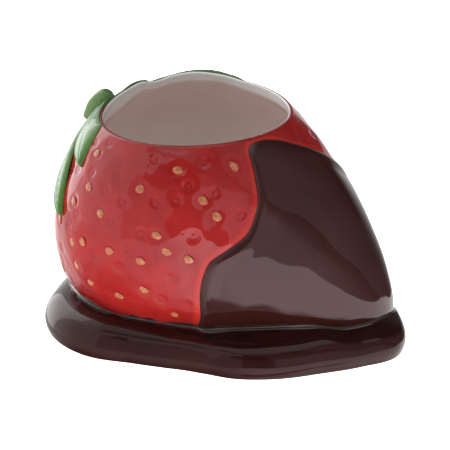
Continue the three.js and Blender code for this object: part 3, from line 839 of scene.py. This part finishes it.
material, start = finish_of("seed_glaze")
patch = start.noise(1.3, 2).step(0.42, 0.62)
dark = start.noise(2.1, 2).step(0.55, 0.7)
colour = patch.mix(rgb(0.34, 0.110, 0.046), rgb(0.44, 0.200, 0.095))
colour = (dark * 0.4).mix(colour, rgb(0.34, 0.07, 0.03))
brushed = start.attribute("out") + 0.5 * (start.noise(1.1, 2) - 0.5)
colour = brushed.step(0.66, 0.9).mix(colour, rgb(0.36, 0.020, 0.018))
glaze(start, colour, 0.12, start.bump(start.noise(0.9, 2), 0.06))
add(seeds, material)

# The floor and the studio: a white sweep lit from all round, brighter from the left and from above, with
# a darker gap on the camera's side. The camera looks down a little from the right of the front.
floor_size = 3000.0
corners = floor_size * np.array([[-1, -1, 0], [1, -1, 0], [1, 1, 0], [-1, 1, 0]])
floor = mesh_of("floor", corners, [(0, 1, 2, 3)], {})
material, start = finish_of("white_sweep")
glaze(start, rgb(0.8, 0.8, 0.8), 0.9, None, Specular_IOR_Level=0.0,
      Emission_Color=rgb(1, 1, 1), Emission_Strength=2.0)
floor.data.materials.append(material)
floor.visible_glossy = False

world = bpy.data.worlds.new("studio")
world.use_nodes = True
world.node_tree.nodes.clear()
bpy.context.scene.world = world
start = Socket(world.node_tree)
direction = start.make("ShaderNodeTexCoord", output="Generated")
x, y, z = (start.make("ShaderNodeSeparateXYZ", {"Vector": direction}, output=k) for k in range(3))
gap_x, gap_y, to_degrees, brightest, deepest, panel_edge = 0.5, 0.866, 57.3, 2.4, 40.0, 1.5
# Degrees round from the middle of the gap, towards the berry's tip, and degrees above the horizon.
turn = start.math("ARCTAN2", gap_y * x + gap_x * y, gap_x * x - gap_y * y) * to_degrees
height = start.make("ShaderNodeMath", {0: z}, operation="ARCSINE") * to_degrees


def line_round(points, scale=brightest):
    """The value at the turn of the line through [turn, value] points, as a ramp of greys times scale."""
    low, high = points[0][0], points[-1][0]
    stops = [((at - low) / (high - low), rgb(*[value / scale] * 3)) for at, value in points]
    share = (turn - low) * (1 / (high - low))
    return start.make("ShaderNodeValToRGB", {"Fac": share}, stops=stops) * scale


def panel(light, level, left, right, low, high):
    """The light with an even panel of a level in it, between two turns and two heights."""
    def edge(value, at):
        return value.step(at - panel_edge, at + panel_edge)
    cover = edge(turn, left) * (1 - edge(turn, right)) * edge(height, low) * (1 - edge(height, high))
    return light + cover * (level - light)


room = line_round([(-180, 0.9), (-165, 1.1), (-128, 1.5), (-112, 1.35), (-100, 1.15), (-85, 1.0),
                   (-30, 1.0), (10, 0.80), (38, 0.72), (60, 0.42), (85, 0.22), (180, 0.2)])
# The tall panel at the left shines sharply in the glaze, and gives less light than its glare.
glare, glare_only = 2.7, 1.7
diffuse = start.make("ShaderNodeLightPath", output="Is Diffuse Ray")
room = panel(room, glare - glare_only * diffuse, -165, -128, -12, 50)
# The dark and grey panels in the gap and round it: level, left and right turns, low and high edges.
panels = [
    (0.42, -75, 40, 52, 66), (0.58, -54, -20, -20, 40), (0.15, -42, -20, 31, 46),
    (0.13, -21, 7, -20, 27), (0.03, -22, 6, 27, 53), (0.05, 6, 30, 46, 53),
    (0.32, 6, 54, 31, 46), (0.38, 30, 70, 46, 62)]
for level_and_edges in panels:
    room = panel(room, *level_and_edges)
# The gap's right side darkens towards a slanted edge, past which is the back of the room.
side_level, top_level, slant, slant_from, slant_reach = 0.17, 1.1, 1.26, 26, 14
past_edge = turn + start.math("MINIMUM", height - slant_from, slant_reach) * slant
room = side_level + (1 - past_edge.step(28, 53)) * (room - side_level)
back = line_round([(-180, 0.45), (50, 0.45), (75, 0.40), (95, 0.24), (118, 0.09), (131, 0.14),
                   (139, 0.28), (147, 0.55), (155, 0.80), (180, 1.1)])
back = back * (1 - 0.8 * turn.step(118, 130) * height.step(-4, 4) - 0.1 * height.step(12, 42))
room = room + past_edge.step(52.4, 53.8) * (back - room)
room = room + height.step(60, 66) * (top_level - room)
# The table that the dish stands on, as its glaze mirrors it: darker under the gap and close by.
table = line_round([(-180, 1.2), (-120, 0.85), (-90, 0.8), (-60, 0.95), (-30, 1.15), (-15, 1.6),
                    (0, 2.0), (90, 2.15), (105, 2.0), (125, 1.8), (150, 1.2), (180, 1.2)])
table = table * (1 - 0.92 * (1 - height.step(-52, -20)) * (1 - turn.step(-95, -25)))
table = table * (1 - 0.5 * (1 - height.step(-62, -44)))
below = height - start.math("MAXIMUM", turn, 0.0) * 0.5
under = (1 - below.step(-53, -48)) * below.step(-68, -60)
under = under * turn.step(-32, -20) * (1 - turn.step(32, 45))
table = table * (1 - 0.8 * under)
# The height of the table's far edge, below the horizon. Its ramp counts from the deepest height up.
edge = line_round([(-180, 28), (-60, 27), (-35, 29), (-22, 35), (-8, 37), (22, 37), (45, 34), (80, 33),
                   (95, 34), (108, 32), (122, 27), (150, 22), (180, 28)], deepest) - deepest
light = table + (height - edge).step(-0.6, 0.6) * (room - table)
seen = start.make("ShaderNodeLightPath", output="Is Camera Ray")
strength = start.math("MAXIMUM", light, seen)
background = start.make("ShaderNodeBackground", {"Color": rgb(1, 1, 1), "Strength": strength})
start.make("ShaderNodeOutputWorld", {"Surface": background})
bpy.context.scene.view_settings.view_transform = "Standard"

camera_place, camera_aim = Vector((0.36119, -0.88048, 0.43678)), Vector((-0.00475, -0.00058, 0.04185))
lens = bpy.data.cameras.new("camera")
lens.sensor_width, lens.lens = 36.0, 197.5
camera = bpy.data.objects.new("camera", lens)
camera.location = camera_place
camera.rotation_mode = "QUATERNION"
camera.rotation_quaternion = (camera_aim - camera_place).to_track_quat("-Z", "Y")
bpy.context.scene.collection.objects.link(camera)
bpy.context.scene.camera = camera
